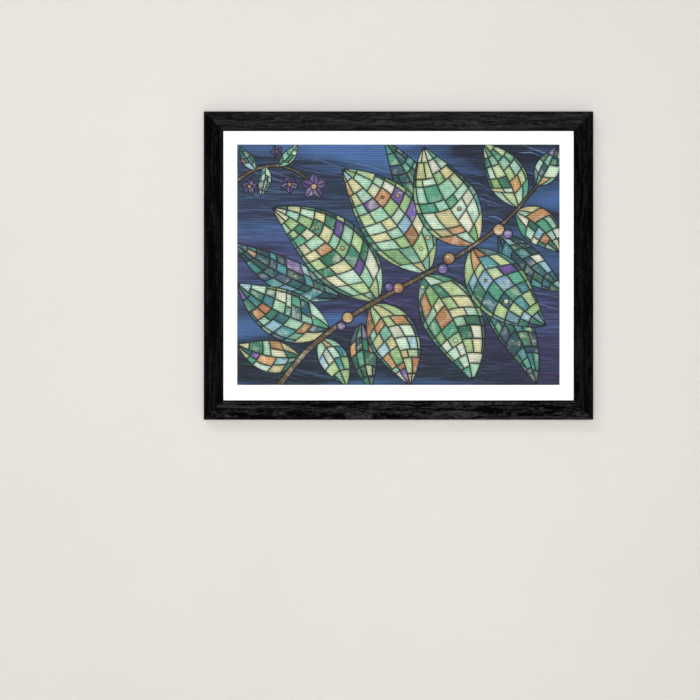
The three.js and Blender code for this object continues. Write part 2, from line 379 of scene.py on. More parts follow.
def started(primitive, name, **settings):
    """A primitive added at its size and place, with that place then in its mesh."""
    bpy.ops.object.select_all(action="DESELECT")
    primitive(**settings)
    piece = bpy.context.active_object
    piece.name = piece.data.name = name
    bpy.ops.object.transform_apply(location=True, rotation=True, scale=True)
    return piece


def bar(name, low, high):
    """A box between two corners, to be shaped further."""
    low, high = Vector(low), Vector(high)
    add = bpy.ops.mesh.primitive_cube_add
    return started(add, name, size=1, location=(low + high) / 2, scale=high - low)


def post(name, radius, low, high, sides=32):
    """A cylinder along Y, to be shaped further. low and high are its end middles."""
    low, high = Vector(low), Vector(high)
    add, tall = bpy.ops.mesh.primitive_cylinder_add, high.y - low.y
    at, turn = (low + high) / 2, (math.radians(-90), 0, 0)
    return started(add, name, vertices=sides, radius=radius, depth=tall, location=at, rotation=turn)


def modified(piece, kind, **settings):
    """Adds a modifier and applies it."""
    only(piece)
    modifier = piece.modifiers.new(kind.title(), kind)
    for key, value in settings.items():
        setattr(modifier, key, value)
    bpy.ops.object.modifier_apply(modifier=modifier.name)
    return piece


def combined(piece, tool, operation="DIFFERENCE"):
    """Cuts with a tool or joins it on, and deletes the tool."""
    modified(piece, "BOOLEAN", operation=operation, object=tool, solver="EXACT")
    bpy.data.objects.remove(tool)
    return piece


def soften(piece, width, segments=2, angle=30):
    """Rounds the sharp edges. The faces between them stay flat in shading."""
    limit = math.radians(angle)
    modified(piece, "BEVEL", width=width, segments=segments, limit_method="ANGLE", angle_limit=limit)
    modified(piece, "WELD", merge_threshold=0.001 * MM)
    bpy.ops.object.shade_smooth_by_angle(angle=limit)
    return modified(piece, "WEIGHTED_NORMAL", keep_sharp=True)


def copied(piece, name, matrix):
    """A copy with its own mesh, put in place by a matrix."""
    mesh = piece.data.copy()
    mesh.name = name
    mesh.transform(matrix)
    return added(name, mesh)


def traced(node, name):
    """A copy of a CAD node, its triangles joined up into whole faces."""
    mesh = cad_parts[node].data.copy()
    mesh.name = name
    mesh.materials.clear()
    piece = added(name, mesh)
    with editing(piece):
        bpy.ops.mesh.select_all(action="SELECT")
        bpy.ops.mesh.remove_doubles(threshold=0.01 * MM)
        bpy.ops.mesh.dissolve_limited(angle_limit=math.radians(0.5))
        bpy.ops.mesh.customdata_custom_splitnormals_clear()
    return piece


def dress(piece, slot, *materials, body="frame", node=None):
    """Gives a piece its materials and body, and hides the CAD node that it stands for. The slot is not
    used.
    """
    for material in materials:
        piece.data.materials.append(material)
    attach(piece, body)
    if node:
        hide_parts(node)


def middle(node):
    """The middle of a CAD node's box."""
    low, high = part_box(node)
    return (low + high) / 2


def about_y(angle):
    """A turn about the Y axis."""
    return Matrix.Rotation(angle, 4, "Y")


def turned(heading):
    """The turn about Y that takes +Z to a heading in X and Z."""
    return about_y(math.atan2(heading.x, heading.z))


# ---- Moulding ----

# How each rail's grain runs: the sway of its lines, the share of it that stays dark, and how dark and how
# light it gets beside the rail's tone, whose differences from rail to rail are painted light from above.
GRAIN = {
    "top": (9 * MM, 0.0, 0.3, 2.6),
    "bottom": (15 * MM, 0.34, 0.02, 3.9),
    "left": (5 * MM, 0.44, 0.02, 8.0),
    "right": (9 * MM, 0.32, 0.02, 5.2),
}
# The streaks of the grain: length and width of one, detail, roughness, and how far they swing its tone.
STREAKS = {
    "broad": (300 * MM, 11 * MM, 2, 0.55, 0.6),
    "medium": (80 * MM, 4.2 * MM, 3, 0.6, 1.25),
    "short": (22 * MM, 2.8 * MM, 3, 0.6, 0.85),
    "flecks": (8.5 * MM, 2.1 * MM, 4, 0.68, 1.25),
    "fine": (28 * MM, 1.4 * MM, 3, 0.65, 0.95),
}
PORES = (11 * MM, 0.7 * MM, 2, 0.6)
# The waves that its lines sway in, given in the same way, with the share of the sway that each takes.
WAVES = ((160 * MM, 22 * MM, 2, 0.55, 1), (50 * MM, 9 * MM, 2, 0.55, 0.3))
# How far apart along the grain the four rails are cut, in metres.
CUT_APART = 3.1


def streaks(tree, lay, reach, thick, detail, rough):
    """Noise drawn out along the grain. reach and thick are about the size of one streak."""
    drawn = put(tree, "VectorMath", {0: lay, 1: (1 / reach, 1 / thick, 1 / thick)}, operation="MULTIPLY")
    return noise(tree, 1, detail, rough, at=drawn)


def grain_layers(tree, run, across, depth, sway):
    """The layers of a board's grain by name, and the figure that they make together, from 0 to 1."""
    straight = joined(tree, run, across, depth)
    waves = [swing(tree, streaks(tree, straight, *size), part * sway) for *size, part in WAVES]
    lay = joined(tree, run, summed(tree, across, *waves), depth)
    grain = {name: streaks(tree, lay, *size) for name, (*size, _) in STREAKS.items()}
    swings = [swing(tree, grain[name], reach) for name, (*_, reach) in STREAKS.items()]
    grain["figure"] = rescale(tree, summed(tree, 0.5, *swings), 0, 1)
    grain["pores"] = streaks(tree, lay, *PORES)
    return grain


def stained_face(tree, settings, side, grain, from_rim, depth):
    """Stained wood: black in the pores, with painted shade along the front's outer and inner edges."""
    low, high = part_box(f"rail_{side}")
    _, dark_until, dark, light = GRAIN[side]
    # Painted light: the rail's tone, lighter on the level rails and darker on the upright ones as the light
    # from above falls on them.
    tone = getattr(settings, f"{side}_tone")
    shades = [scaled((1, 0.99, 0.97), tone * factor) for factor in (dark, 1, light)]
    black = ramp(tree, grain["figure"], zip((dark_until, 0.52, 1.0), shades))
    black = laid(tree, black, settings.stain, grain["pores"], 0.42, 0.3, 0.75)
    wide = high.z - low.z if side in LEVEL else high.x - low.x
    # Painted shade: dark bands in the stain's colour along the outer edge and the sight edge of the front
    # face.
    rim_shade = rescale(tree, from_rim, 2.2 * MM, 1.2 * MM, 0, 0.55)
    sight_edge_shade = rescale(tree, from_rim, wide - 3.0 * MM, wide - 2.0 * MM, 0, 0.85)
    near_front = rescale(tree, depth, low.y + 3.2 * MM, low.y + 2.4 * MM)
    thick = calc(tree, "MULTIPLY", near_front, calc(tree, "MAXIMUM", rim_shade, sight_edge_shade))
    return mix(tree, thick, black, settings.stain)


def bare_wood(tree, settings, grain):
    """The colour of the unstained wood."""
    raw = settings.raw_wood
    pale = laid(tree, scaled(raw, 0.8), scaled(raw, 1.1), grain["medium"], 0.3, 0.7)
    pale = laid(tree, pale, scaled(raw, 0.55), grain["broad"], 0.5, 0.66, 0.45)
    return laid(tree, pale, scaled(raw, 0.35), grain["pores"], 0.44, 0.32, 0.5)


@look
def black_stain(tree, side, settings):
    """Black stain on open grain, bare on the back inside an edge of overspray."""
    low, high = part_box(f"rail_{side}")
    x, depth, z = split(tree, own_place(tree))
    run, across = (x, z) if side in LEVEL else (z, x)
    run = calc(tree, "ADD", run, CUT_APART * SIDES.index(side))
    grain = grain_layers(tree, run, across, depth, GRAIN[side][0])
    rim = {"top": high.z, "bottom": low.z, "left": low.x, "right": high.x}[side]
    from_rim = calc(tree, "ABSOLUTE", calc(tree, "SUBTRACT", across, rim))

    drifts = swing(tree, noise(tree, 40), 4 * MM)
    specks = swing(tree, noise(tree, 2200, 2), 9 * MM)
    back = rescale(tree, depth, high.y - 0.2 * MM, high.y - 0.05 * MM)
    past_spray = rescale(tree, summed(tree, from_rim, drifts, specks), 2.5 * MM, 6.5 * MM)
    bare = calc(tree, "MULTIPLY", back, past_spray)
    stained = stained_face(tree, settings, side, grain, from_rim, depth)
    base = mix(tree, bare, stained, bare_wood(tree, settings, grain))

    sheen = rescale(tree, grain["fine"], 0.3, 0.7, 0.6, 0.74)
    rough = calc(tree, "ADD", sheen, calc(tree, "MULTIPLY", bare, 0.15))
    raised = [calc(tree, "MULTIPLY", grain[name], 0.35) for name in ("medium", "fine")]
    height = summed(tree, *raised, rescale(tree, grain["pores"], 0.3, 0.42, 0, 0.3))
    return surface(tree, base, rough, (height, 0.4 * MM, 0.55), gloss=0.05)


@look
def nail_steel(tree):
    """Blued strip steel, bright where the press has rubbed it."""
    rub = noise(tree, 900)
    base = laid(tree, linear("5d5f63"), linear("a4a6aa"), rub, 0.4, 0.7)
    return surface(tree, base, rescale(tree, rub, 0.3, 0.7, 0.3, 0.5), metallic=1.0)


def corners():
    """The four outer corners of the moulding, on the plane of its back, and the headings out of them."""
    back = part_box("rail_top")[1].y
    for x in (CAD_LOW.x, CAD_HIGH.x):
        for z in (CAD_LOW.z, CAD_HIGH.z):
            yield Vector((x, back, z)), Vector((math.copysign(1, x), 0, math.copysign(1, z))).normalized()


def at_mitre(face):
    """Whether a rail's face is a mitre, or faces along Y. Either kind has all its corners on the mitres."""
    return abs(abs(face.normal.x) - abs(face.normal.z)) < 0.01


def mitre_nails(name, corner_at, outwards):
    """Two V-shaped strips driven across a mitre from the back. outwards points to the frame's corner."""
    arm, strip, proud, deep = 5 * MM, 0.5 * MM, 0.12 * MM, 7 * MM
    spread = math.radians(48)
    nails = None
    for from_corner in (13 * MM, 29 * MM):
        apex = Matrix.Translation(corner_at - outwards * from_corner)
        for lean in (-spread, spread):
            blade = bar(name, (-strip / 2, -deep, 0), (strip / 2, proud, arm))
            blade.data.transform(apex @ turned(outwards) @ about_y(lean))
            nails = combined(nails, blade, "UNION") if nails else blade
    nails.name = nails.data.name = name
    return nails


class PICTURE_OT_moulding(bpy.types.Operator):
    """Make the four rails of the moulding, closed at the mitres, and the nails that hold them"""

    bl_idname = "picture.moulding"
    bl_label = "Moulding"

    def execute(self, context):
        settings = context.scene.picture_moulding
        for side in SIDES:
            node = f"rail_{side}"
            rail = traced(node, f"moulding_{side}")
            with editing(rail):
                pick(rail, "faces", at_mitre)
                bpy.ops.transform.shrink_fatten(value=settings.close_mitre)
                for corner, outwards in corners():
                    cut = settings.right_corner if corner.x > 0 else settings.left_corner
                    plane = {"plane_co": corner - outwards * cut, "plane_no": outwards}
                    bpy.ops.mesh.select_all(action="SELECT")
                    bpy.ops.mesh.bisect(**plane, use_fill=True, clear_outer=True)
            soften(tidied(rail), settings.arris, angle=40)
            dress(rail, "black_wood", black_stain(side, settings, name=f"black_stain_{side}"), node=node)
        for corner, outwards in corners():
            level, hand = LEVEL[corner.z < 0], HANDS[corner.x > 0]
            nails = mitre_nails(f"mitre_nails_{level}_{hand}", corner, outwards)
            dress(soften(nails, 0.06 * MM, segments=1), "steel", nail_steel())
        return {"FINISHED"}


# ---- Glass, mat and boards ----


@look
def coated_glass(tree):
    """Thin coated glass: it lets light straight through and gives a faint gloss."""
    smear = noise(tree, 1, 4, distortion=0.8, at=place(tree, (9, 9, 5)))
    rough = rescale(tree, smear, 0.3, 0.8, 0.02, 0.07)
    through = put(tree, "BsdfTransparent", {"Color": (0.995, 0.997, 0.995, 1)})
    gloss = put(tree, "BsdfGlossy", {"Color": (0.9, 0.95, 1, 1), "Roughness": rough})
    slant = put(tree, "LayerWeight", {"Blend": 0.5}, "Facing")
    straight_on, edge_on = 0.0083, 0.95
    mirror = rescale(tree, calc(tree, "POWER", slant, 5), 0, 1, straight_on, edge_on)
    return put(tree, "MixShader", {0: mirror, 1: through, 2: gloss})


@look
def mat_paper(tree, settings):
    """Smooth rag paper with a very fine tooth."""
    base = laid(tree, settings.face, scaled(settings.face, 0.985), noise(tree, 12, rough=0.5), 0.3, 0.7)
    return surface(tree, base, 0.9, (noise(tree, 900), 0.05 * MM, 0.5), gloss=0.2)


def toothed(tree, light, dark, scale, rough, gloss):
    """Plain paper whose tooth shows in its colour too."""
    tooth = noise(tree, scale)
    base = laid(tree, light, dark, tooth, 0.35, 0.65)
    return surface(tree, base, rough, (tooth, 0.04 * MM, 0.4), gloss=gloss)


@look
def foam_board_paper(tree, settings):
    """The foam board's paper skin."""
    return toothed(tree, settings.foam, scaled(settings.foam, 0.94), 400, 0.85, 0.25)


@look
def fibre_panel(tree, settings):
    """Brown fibreboard: short pressed fibres, pale flecks, faint clouds and a few scratches."""
    level_fibres = noise(tree, 1100, at=place(tree, (0.4, 1, 1.2)))
    upright_fibres = noise(tree, 1000, at=place(tree, (1.2, 1, 0.4)))
    fibres = calc(tree, "MAXIMUM", level_fibres, upright_fibres)
    cloud = noise(tree, 9, 4, 0.55)
    scratches = noise(tree, 4, 2, 0.4, at=place(tree, (2.5, 2.5, 110), turn=(0, 0.5, 0)))
    pale = scaled(settings.panel, 1.5)
    base = laid(tree, settings.panel, settings.panel_dark, fibres, 0.46, 0.74)
    base = laid(tree, base, pale, noise(tree, 900, 2, 0.5), 0.6, 0.72, 0.5)
    base = laid(tree, base, scaled(settings.panel, 0.72), cloud, 0.35, 0.65, 0.3)
    base = laid(tree, base, pale, scratches, 0.73, 0.8, 0.3)
    rough = rescale(tree, cloud, 0.3, 0.7, 0.62, 0.78)
    return surface(tree, base, rough, (fibres, 0.06 * MM, 0.5), gloss=0.3)


class PICTURE_OT_boards(bpy.types.Operator):
    """Finish the glass, the window mat and the foam board, and make the back panel"""

    bl_idname = "picture.boards"
    bl_label = "Glass, Mat and Boards"

    def execute(self, context):
        settings = context.scene.picture_mat
        finishes = {
            "glazing": coated_glass(),
            "window_mat": mat_paper(settings),
            "foam_board": foam_board_paper(settings),
        }
        for node, material in finishes.items():
            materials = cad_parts[node].data.materials
            materials.clear()
            materials.append(material)
        panel = soften(traced("backing_panel", "back_panel"), 0.4 * MM)
        dress(panel, "backing_board", fibre_panel(settings), node="backing_panel")
        return {"FINISHED"}


# ---- Fittings on the back ----

PLACES = [f"{side}_{mark}" for side in LEVEL for mark in HANDS]
PLACES += [f"{side}_{mark}" for side in HANDS for mark in ("upper", "lower")]
# Which way round each screw ends up.
SCREW_SEED = 5


@look
def plated_zinc(tree, settings):
    """Zinc plating with faint cloudy spangles and fine scratches."""
    cells = put(tree, "TexVoronoi", {"Vector": place(tree), "Scale": 420}, "Color", feature="F1")
    spangle = split(tree, cells)["X"]
    cloud = noise(tree, 160, 4)
    scratch = noise(tree, 1, rough=0.7, at=place(tree, (300, 300, 2600), turn=(0.3, 0.9, 0.2)))
    base = laid(tree, settings.zinc, scaled(settings.zinc, 0.72), spangle, 0, 1, 0.35)
    base = laid(tree, base, linear("a8a492"), cloud, 0.5, 0.75, 0.5)
    rough = summed(tree, rescale(tree, spangle, 0, 1, 0.28, 0.4), rescale(tree, cloud, 0.4, 0.7, 0, 0.12))
    return surface(tree, base, rough, (scratch, 0.02 * MM, 0.5), metallic=1.0)


@look
def nickelled_steel(tree, settings):
    """Nickelled steel with fine turning marks and dull patches."""
    dull = noise(tree, 240, 4)
    marks = noise(tree, 1, at=place(tree, (900, 4200, 900)))
    base = laid(tree, settings.steel, scaled(settings.steel, 0.6), dull, 0.45, 0.75)
    rough = rescale(tree, dull, 0.35, 0.7, 0.2, 0.42)
    return surface(tree, base, rough, (marks, 0.015 * MM, 0.5), metallic=1.0)


@look
def bumper_rubber(tree, settings):
    """Dark rubber with a fine grain and some pale dust."""
    dust = noise(tree, 180, 4, 0.7)
    base = laid(tree, settings.rubber, linear("7d7a74"), dust, 0.52, 0.8, 0.35)
    rough = rescale(tree, dust, 0.3, 0.7, 0.6, 0.85)
    return surface(tree, base, rough, (noise(tree, 1500), 0.05 * MM, 0.5), gloss=0.35)


def button_plate(settings, radius, reach, thick):
    """A stamped plate with round ends, flat on Y 0: its hole at the origin, a dimple at its far end."""
    plate = bar("turn_button", (-radius, 0, -radius), (radius, thick, reach + radius))
    with editing(plate):
        pick(plate, "edges", lambda edge: abs((edge.verts[0].co - edge.verts[1].co).y) > thick / 2)
        bpy.ops.mesh.bevel(offset=radius, segments=14, affect="EDGES")
    tidied(plate)
    combined(plate, post("drill", settings.pivot_hole, (0, -thick, 0), (0, 2 * thick, 0)))
    dimple_deep, dimple_radius = 0.4 * thick, 0.45 * radius
    ball = (dimple_radius**2 + dimple_deep**2) / (2 * dimple_deep)
    at = (0, thick + ball - dimple_deep, reach)
    add = bpy.ops.mesh.primitive_uv_sphere_add
    combined(plate, started(add, "press", segments=48, ring_count=32, radius=ball, location=at))
    return soften(plate, settings.edge)


def pan_screw(settings, head, whole):
    """A pan-head screw along Y with a cross recess. It faces +Y, and its head ends just short of Y 0."""
    height = settings.head_height
    below = whole - height
    dome = ((0.06, 0.22), (0.14, 0.22), (0.24, 0.15), (0.26, 0.07))
    screw = post("screw", head, (0, -height, 0), (0, -0.68 * height, 0), sides=40)
    with editing(screw):
        pick(screw, "faces", lambda face: face.normal.y > 0.9)
        for inwards, up in dome:
            bpy.ops.mesh.inset(thickness=inwards * head, depth=up * height)
        pick(screw, "faces", lambda face: face.normal.y < -0.9)
        bpy.ops.mesh.inset(thickness=head - settings.shank)
        straight, point = 0.75, 0.25
        for part in (straight, point):
            bpy.ops.mesh.extrude_region_move(TRANSFORM_OT_translate={"value": (0, -part * below, 0)})
        bpy.ops.transform.resize(value=(0.2, 1, 0.2), center_override=(0, -height - below, 0))
    wing, slit, core, depth = 0.64 * head, 0.13 * head, 0.25 * head, 0.75 * height
    for half_long, half_wide, degrees in ((wing, slit, 0), (wing, slit, 90), (core, core, 45)):
        cutter = bar("driver", (-half_long, -depth, -half_wide), (half_long, 0.06 * height, half_wide))
        with editing(cutter):
            pick(cutter, "verts", lambda vert: vert.co.y < -0.5 * depth)
            bpy.ops.transform.resize(value=(0.5, 1, 0.6), center_override=(0, -depth, 0))
        cutter.data.transform(about_y(math.radians(degrees)))
        combined(screw, cutter)
    return soften(screw, 0.02 * head, angle=35)


class PICTURE_OT_buttons(bpy.types.Operator):
    """Make the turn buttons that hold the back panel in, and every screw"""

    bl_idname = "picture.buttons"
    bl_label = "Turn Buttons and Screws"

    def execute(self, context):
        settings = context.scene.picture_fittings
        zinc, steel = plated_zinc(settings), nickelled_steel(settings)
        low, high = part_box("turn_button_bottom_left")
        radius = (high.x - low.x) / 2
        plate = button_plate(settings, radius, high.z - low.z - 2 * radius, high.y - low.y)
        for name in PLACES:
            node = f"turn_button_{name}"
            pivot = middle(f"button_screw_{name}")
            pivot.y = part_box(node)[0].y
            matrix = Matrix.Translation(pivot) @ turned(middle(node) - pivot)
            button = copied(plate, f"button_{name}", matrix)
            dress(button, "zinc_plate", zinc, body=f"button_{name}", node=node)
        bpy.data.objects.remove(plate)

        low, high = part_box("hanger_screw_left")
        screw = pan_screw(settings, (high.x - low.x) / 2, high.y - low.y)
        chance = random.Random(SCREW_SEED)
        nodes = [f"button_screw_{name}" for name in PLACES] + [f"hanger_screw_{hand}" for hand in HANDS]
        for node in nodes:
            seat = middle(node)
            seat.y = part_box(node)[1].y
            matrix = Matrix.Translation(seat) @ about_y(chance.uniform(0, math.pi / 2))
            dress(copied(screw, node.replace("screw", "pan_screw"), matrix), "steel", steel, node=node)
        bpy.data.objects.remove(screw)
        return {"FINISHED"}


def hanger_plate(settings, node, ring):
    """A strap with a round foot, rolled round the ring's bar at its head."""
    low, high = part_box(node)
    half, thick = (high.x - low.x) / 2, settings.strap_thick
    x = (low.x + high.x) / 2
    hinge = Vector((x, middle(ring).y, high.z - (middle(ring).y - low.y)))
    plate = bar(f"{node}_plate", low, (high.x, low.y + thick, hinge.z))

    def at_foot(edge):
        return max(vert.co.z for vert in edge.verts) < low.z + MM and edge.calc_length() < half

    def at_head(face):
        return face.normal.z > 0.9 and face.calc_center_median().z > hinge.z - 0.1 * MM

    with editing(plate):
        pick(plate, "edges", at_foot)
        bpy.ops.mesh.bevel(offset=half, segments=12, affect="EDGES")
        pick(plate, "faces", at_head)
        bpy.ops.mesh.spin(steps=26, angle=math.radians(300), center=hinge, axis=(1, 0, 0))
    tidied(plate)
    z = middle(node.replace("strap", "screw")).z
    combined(plate, post("drill", settings.pivot_hole, (x, low.y - thick, z), (x, low.y + 3 * thick, z)))
    return soften(plate, 0.6 * settings.edge)


def d_ring(settings, node):
    """A round wire bent to a D: a bar on the hinge, two legs and a half circle."""
    low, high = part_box(node)
    wire = (high.y - low.y) / 2
    half = (high.x - low.x) / 2 - wire
    centre = middle(node)
    hinge_z, arch_z, corner = low.z + wire, high.z - wire - half, settings.ring_corner
    add = bpy.ops.mesh.primitive_circle_add
    at, turn = (centre.x, centre.y, hinge_z), (0, math.radians(90), 0)
    ring = started(add, f"{node}_wire", vertices=20, radius=wire, location=at, rotation=turn)

    def straight(x, z):
        bpy.ops.mesh.extrude_region_move(TRANSFORM_OT_translate={"value": (x, 0, z)})

    def bend(x, z, degrees, steps):
        around = (centre.x + x, centre.y, z)
        bpy.ops.mesh.spin(steps=steps, angle=math.radians(degrees), center=around, axis=(0, 1, 0))

    with editing(ring):
        pick(ring, "edges", lambda edge: True)
        straight(half - corner, 0)
        bend(half - corner, hinge_z + corner, 90, 8)
        straight(0, arch_z - hinge_z - corner)
        bend(0, arch_z, 180, 40)
        straight(0, hinge_z + corner - arch_z)
        bend(corner - half, hinge_z + corner, 90, 8)
        straight(half - corner, 0)
    only(tidied(ring))
    bpy.ops.object.shade_smooth_by_angle(angle=math.radians(50))
    return ring


class PICTURE_OT_hangers(bpy.types.Operator):
    """Make the two hangers, a rolled strap and a D-ring each"""

    bl_idname = "picture.hangers"
    bl_label = "Hangers"

    def execute(self, context):
        settings = context.scene.picture_fittings
        for hand in HANDS:
            strap, ring = f"hanger_strap_{hand}", f"d_ring_{hand}"
            dress(hanger_plate(settings, strap, ring), "zinc_plate", plated_zinc(settings), node=strap)
            steel = nickelled_steel(settings)
            dress(d_ring(settings, ring), "steel", steel, body=f"ring_{hand}", node=ring)
        return {"FINISHED"}


class PICTURE_OT_pads(bpy.types.Operator):
    """Make the two rubber pads that keep the foot of the frame off the wall"""

    bl_idname = "picture.pads"
    bl_label = "Wall Pads"

    def execute(self, context):
        settings = context.scene.picture_fittings
        for hand in HANDS:
            node = f"wall_pad_{hand}"
            low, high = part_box(node)
            at, radius = middle(node), (high.x - low.x) / 2
            pad = post(f"{node}_bumper", radius, (at.x, low.y, at.z), (at.x, high.y, at.z), sides=56)
            with editing(pad):
                pick(pad, "edges", lambda edge: all(vert.co.y > at.y for vert in edge.verts))
                bpy.ops.mesh.bevel(offset=0.2 * radius, segments=6, affect="EDGES")
                pick(pad, "faces", lambda face: face.normal.y > 0.999)
                bpy.ops.mesh.inset(thickness=0.22 * radius)
                bpy.ops.mesh.inset(thickness=0.05 * radius, depth=-0.06 * radius)
            soften(tidied(pad), 0.03 * radius, angle=35)
            dress(pad, "pad_rubber", bumper_rubber(settings), node=node)
        return {"FINISHED"}


# ---- The printed picture: a branch of leaves in leaded panes, over a dusk of long brush strokes ----

# The inks by name, each in a few shades that chance picks from.
INKS = {
    "spring": ("9cc878", "b4d488", "80b868", "c6dc96"),
    "mint": ("a8dcb8", "c2e8cc", "92d0ac", "d4eed0"),
    "emerald": ("2c8e6a", "38a47c", "24805e", "4ab48c"),
    "teal": ("1e7480", "2a8c94", "186470", "38a0a4"),
    "shade": ("2a6058", "24545c", "34705a", "3a5c78"),
    "cream": ("e3dc9a", "ece3b4", "d6c983", "f0ead0"),
    "amber": ("c98a3a", "d99d4b", "b97528"),
    "violet": ("6a45a0", "7d55b4", "54358a"),
    "ice": ("8fc4d8", "7fb2d0", "a9d4de"),
    "bark": ("8a6a34", "7a5a2c"),
    "wisp": ("4a6cae", "3c5698", "5a86c4"),
    "mist": ("5a4f9c", "6a60b0", "4c4088"),
    "water": ("245068", "2c647c", "2c5688"),
}
# The dusk from the foot of the print to its head, and the gleam of its strokes.
DUSK = (
    (0.0, "121a28"), (0.14, "152a3e"), (0.26, "25224a"), (0.40, "352b62"),
    (0.52, "26325f"), (0.66, "1f3a5e"), (0.80, "1a2c48"), (1.0, "0f1a2e"),
)
GLEAM = ((0.0, "2a6478"), (0.3, "6a58ae"), (0.6, "4e80c8"), (1.0, "365690"))
# How far the strokes of the dusk fall for each step to the right.
FALL = 0.24
# Places on the print are in millimetres from its middle, and up. The strokes' middles lie within the first
# two distances across and up, and their ends within the third across.
STROKES_ACROSS, STROKES_UP, STROKES_END = 300, 225, 316
BRANCH = ((-232, -236), (-170, -160), (-85, -95), (10, -40), (110, 15), (200, 80), (262, 150))
TWIG = ((-312, 153), (-280, 176), (-236, 188), (-196, 178), (-168, 158))
# Each leaf, from the back of the pile to the front: stem end, tip, bow to one side, half width and inks.
LEAVES = (
    ((-110, -60), (-316, 44), 0.10, 34, ("shade", "teal")),
    ((70, 40), (-28, 236), -0.10, 36, ("shade", "emerald", "teal")),
    ((150, -20), (262, -228), 0.12, 38, ("shade", "teal", "emerald")),
    ((190, 60), (316, -52), -0.10, 32, ("teal", "shade")),
    ((-70, -110), (-50, -238), -0.08, 26, ("shade", "emerald")),
    ((262, 150), (300, 226), -0.08, 24, ("emerald", "teal", "mint")),
    ((228, 108), (160, 230), -0.12, 38, ("spring", "mint", "emerald")),
    ((222, 100), (306, 22), 0.16, 35, ("mint", "cream", "emerald")),
    ((-130, -122), (-306, -34), 0.14, 48, ("teal", "emerald", "mint")),
    ((-150, -140), (-98, -233), 0.10, 28, ("spring", "mint", "teal")),
    ((-185, -175), (-306, -150), 0.16, 32, ("mint", "emerald", "cream")),
    ((-40, -68), (-240, 108), -0.14, 62, ("emerald", "spring", "mint", "cream")),
    ((-52, -76), (22, -230), 0.14, 48, ("cream", "spring", "amber", "mint")),
    ((55, -15), (-108, 182), -0.10, 64, ("cream", "mint", "spring", "mint")),
    ((45, -22), (140, -220), 0.16, 57, ("mint", "emerald", "spring", "cream")),
    ((150, 40), (48, 224), 0.14, 60, ("mint", "spring", "cream", "mint", "emerald")),
    ((140, 32), (280, -116), -0.14, 56, ("emerald", "teal", "spring", "ice")),
    ((-270, 180), (-300, 226), 0.1, 12, ("teal", "emerald")),
    ((-226, 187), (-190, 230), -0.1, 12, ("emerald", "mint")),
    ((-252, 186), (-262, 128), 0.12, 13, ("mint", "teal")),
)
# Middle, radius and ink of each berry, and middle, petal length and turn of each blossom.
BERRIES = (
    ((190, 66), 10, "amber"),
    ((207, 58), 8, "violet"),
    ((96, 12), 10, "amber"),
    ((84, -8), 8.5, "violet"),
    ((0, -44), 9, "amber"),
    ((-18, -42), 7.5, "violet"),
    ((-96, -100), 9.5, "amber"),
    ((-108, -116), 7.5, "violet"),
)
BLOSSOMS = (((-160, 148), 27, 0.3), ((-206, 152), 19, 1.0), ((-282, 148), 17, 0.1), ((-230, 214), 14, 0.7))
# The inks of the panes along a leaf's edge, and those that a few other panes have instead of their leaf's.
EDGE_INKS = ("emerald", "teal", "spring", "shade")
STRAY_INKS, STRAY_SHARE = ("violet", "ice", "amber", "cream"), 0.16
# Some of the larger panes on one side of a midrib hold a jewel. A pane below the least area is left out.
JEWEL_AREA, JEWEL_SHARE = 350 * MM * MM, 0.2
LEAST_AREA = 11 * MM * MM
# Where the rows of panes along a leaf's edge start, as a share of its half width.
BORDER = 0.84
# The rings of corners inside each pane, as shares of its size. They carry the shade along its lead.
RINGS = (0.72, 0.4)


def spot(x, z):
    """A place on the print, from millimetres."""
    return Vector((x * MM, z * MM))


def area(outline):
    """The area inside an outline, negative where it runs clockwise."""
    return sum(a.x * b.y - b.x * a.y for a, b in zip(outline, outline[1:] + outline[:1])) / 2


def centre_of(outline):
    """The mean of an outline's points."""
    return sum(outline, Vector((0, 0))) / len(outline)


def square_to(heading):
    """The direction to the left of a heading."""
    return Vector((-heading.y, heading.x))


def eased(marks, steps=8):
    """A smooth line through a few marks."""
    marks = [spot(*mark) for mark in marks]
    line = []
    for i in range(len(marks) - 1):
        before, here, there, after = (marks[min(max(j, 0), len(marks) - 1)] for j in range(i - 1, i + 3))
        for step in range(steps):
            t = step / steps
            bend = 2 * before - 5 * here + 4 * there - after
            twist = 3 * (here - there) + after - before
            line.append((2 * here + (there - before) * t + bend * t * t + twist * t**3) / 2)
    return line + marks[-1:]


def ribbon(line, half_width):
    """The outline of a band along a line. half_width is a function of the share of the line."""
    left, right = [], []
    for i, here in enumerate(line):
        heading = line[min(i + 1, len(line) - 1)] - line[max(i - 1, 0)]
        across = square_to(heading).normalized() * half_width(i / (len(line) - 1))
        left.append(here + across)
        right.append(here - across)
    return left + right[::-1]


def round_of(centre, radius, steps=24):
    """A circle's outline."""
    turns = (2 * math.pi * i / steps for i in range(steps))
    return [centre + radius * Vector((math.cos(turn), math.sin(turn))) for turn in turns]


def block(width, height):
    """A rectangle's outline."""
    return [Vector((x * width / 2, z * height / 2)) for x, z in ((-1, -1), (1, -1), (1, 1), (-1, 1))]


